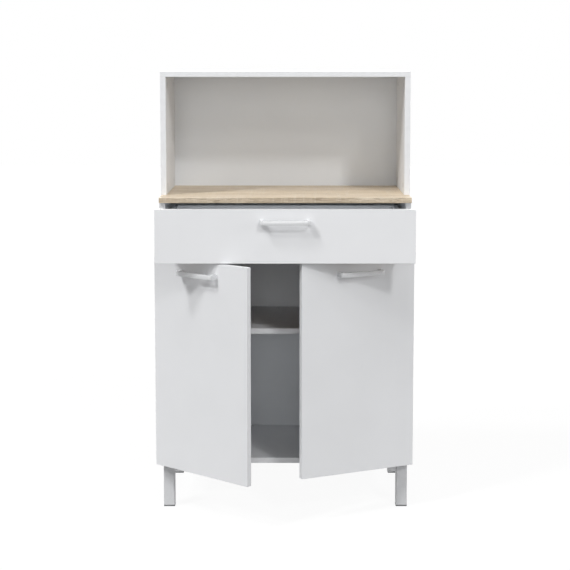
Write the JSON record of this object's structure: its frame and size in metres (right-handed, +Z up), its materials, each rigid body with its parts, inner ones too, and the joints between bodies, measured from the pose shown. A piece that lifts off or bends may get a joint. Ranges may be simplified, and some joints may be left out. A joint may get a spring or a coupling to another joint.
{
  "type": "microwave cabinet",
  "caption": "Free-standing white kitchen cabinet with an open hutch over an oak-effect worktop, a handled drawer on roller runners and a pair of hinged doors, on square metal legs.",
  "frame": {"origin": "on the floor, on the cabinet's centre line, 72 mm behind the front plane of the base carcass: the middle of the room that the opened cabinet takes", "axes": "+X to the right seen from the front, +Y to the back, +Z up"},
  "size_m": [0.7445, 0.6347, 1.265],
  "materials": {
    "melamine_white": "melamine-faced chipboard, fine satin",
    "oak_laminate": "sonoma oak decor, matt",
    "hardboard_white": "painted hardboard",
    "white_painted_steel": "powder coated",
    "silver_painted_steel": "silver powder coated",
    "silver_lacquered_zinc": "die-cast zinc in a light silver lacquer",
    "zinc_plated_steel": "zinc plated",
    "beech": "turned beech",
    "white_nylon": "moulded",
    "grey_plastic": "moulded"
  },
  "bodies": {
    "cabinet": {"worktop": "oak_laminate", "base_left_side": "melamine_white", "base_right_side": "melamine_white", "base_bottom": "melamine_white", "rear_rail": "melamine_white", "base_back_panel": "hardboard_white", "adjustable_shelf": "melamine_white", "shelf_pins": "zinc_plated_steel", "hutch_left_side": "melamine_white", "hutch_right_side": "melamine_white", "hutch_top": "melamine_white", "hutch_back_panel": "hardboard_white", "cam_locks": "zinc_plated_steel", "cam_bolts": "zinc_plated_steel", "wooden_dowels": "beech", "back_panel_nails": "zinc_plated_steel", "worktop_screws": "zinc_plated_steel", "leg_front_left": "silver_painted_steel", "leg_front_right": "silver_painted_steel", "leg_rear_left": "silver_painted_steel", "leg_rear_right": "silver_painted_steel", "leg_screws": "zinc_plated_steel", "foot_pads": "grey_plastic", "door_bumpers": "white_nylon", "left_cabinet_runner": "white_painted_steel", "right_cabinet_runner": "white_painted_steel", "runner_screws": "zinc_plated_steel", "hinge_arms": "zinc_plated_steel", "hinge_mounting_plates": "zinc_plated_steel", "hinge_plate_screws": "zinc_plated_steel", "hinge_arm_screws": "zinc_plated_steel"},
    "drawer": {"drawer_front": "melamine_white", "drawer_left_side": "melamine_white", "drawer_right_side": "melamine_white", "drawer_back": "melamine_white", "drawer_bottom": "hardboard_white", "drawer_handle": "silver_lacquered_zinc", "drawer_handle_screws": "zinc_plated_steel", "drawer_corner_fixings": "zinc_plated_steel", "left_drawer_runner": "white_painted_steel", "right_drawer_runner": "white_painted_steel"},
    "left_cabinet_roller": {"left_cabinet_roller": "white_nylon"},
    "right_cabinet_roller": {"right_cabinet_roller": "white_nylon"},
    "left_drawer_roller": {"left_drawer_roller": "white_nylon"},
    "right_drawer_roller": {"right_drawer_roller": "white_nylon"},
    "left_door": {"left_door_panel": "melamine_white", "left_door_handle": "silver_lacquered_zinc", "left_handle_screws": "zinc_plated_steel", "left_hinge_cups": "zinc_plated_steel", "left_cup_screws": "zinc_plated_steel"},
    "left_outer_link": {"left_outer_links": "zinc_plated_steel"},
    "left_inner_link": {"left_inner_links": "zinc_plated_steel"},
    "right_door": {"right_door_panel": "melamine_white", "right_door_handle": "silver_lacquered_zinc", "right_handle_screws": "zinc_plated_steel", "right_hinge_cups": "zinc_plated_steel", "right_cup_screws": "zinc_plated_steel"},
    "right_outer_link": {"right_outer_links": "zinc_plated_steel"},
    "right_inner_link": {"right_inner_links": "zinc_plated_steel"}
  },
  "joints": [
    {"name": "drawer_slide", "type": "slide", "parent": "cabinet", "child": "drawer", "axis": [0, -1, 0], "range_m": [-0.16, 0.095]},
    {"name": "left_cabinet_roller_spin", "type": "hinge", "parent": "cabinet", "child": "left_cabinet_roller", "pos_m": [-0.3391, -0.056, 0.7676], "axis": [1, 0, 0], "range_deg": [-1020, 606]},
    {"name": "left_drawer_roller_spin", "type": "hinge", "parent": "drawer", "child": "left_drawer_roller", "pos_m": [-0.3391, 0.103, 0.7624], "axis": [1, 0, 0], "range_deg": [-1020, 606]},
    {"name": "right_cabinet_roller_spin", "type": "hinge", "parent": "cabinet", "child": "right_cabinet_roller", "pos_m": [0.3391, -0.056, 0.7676], "axis": [1, 0, 0], "range_deg": [-1020, 606]},
    {"name": "right_drawer_roller_spin", "type": "hinge", "parent": "drawer", "child": "right_drawer_roller", "pos_m": [0.3391, 0.103, 0.7624], "axis": [1, 0, 0], "range_deg": [-1020, 606]},
    {"name": "left_door_hinge", "type": "hinge", "parent": "cabinet", "child": "left_door", "pos_m": [-0.359, -0.0646, 0.43425], "axis": [0, 0, -1], "range_deg": [-40.5, 54.5]},
    {"name": "left_outer_link_turn", "type": "hinge", "parent": "cabinet", "child": "left_outer_link", "pos_m": [-0.337, -0.066, 0.43425], "axis": [0, 0, -1], "range_deg": [-41, 55]},
    {"name": "left_inner_link_turn", "type": "hinge", "parent": "left_outer_link", "child": "left_inner_link", "pos_m": [-0.33799, -0.08409, 0.43425], "axis": [0, 0, 1], "range_deg": [-41, 55]},
    {"name": "right_door_hinge", "type": "hinge", "parent": "cabinet", "child": "right_door", "pos_m": [0.359, -0.0646, 0.43425], "axis": [0, 0, 1], "range_deg": [-25.3, 69.7]},
    {"name": "right_outer_link_turn", "type": "hinge", "parent": "cabinet", "child": "right_outer_link", "pos_m": [0.337, -0.066, 0.43425], "axis": [0, 0, 1], "range_deg": [-25.8, 70.2]},
    {"name": "right_inner_link_turn", "type": "hinge", "parent": "right_outer_link", "child": "right_inner_link", "pos_m": [0.33321, -0.08372, 0.43425], "axis": [0, 0, -1], "range_deg": [-25.8, 70.2]}
  ],
  "couplings": [
    {"joint": "left_cabinet_roller_spin", "follows": "drawer_slide", "rad_per_m": 111.11},
    {"joint": "left_drawer_roller_spin", "follows": "drawer_slide", "rad_per_m": 111.11},
    {"joint": "right_cabinet_roller_spin", "follows": "drawer_slide", "rad_per_m": 111.11},
    {"joint": "right_drawer_roller_spin", "follows": "drawer_slide", "rad_per_m": 111.11},
    {"joint": "left_outer_link_turn", "follows": "left_door_hinge", "ratio": 1},
    {"joint": "left_inner_link_turn", "follows": "left_door_hinge", "ratio": 1},
    {"joint": "right_outer_link_turn", "follows": "right_door_hinge", "ratio": 1},
    {"joint": "right_inner_link_turn", "follows": "right_door_hinge", "ratio": 1}
  ]
}
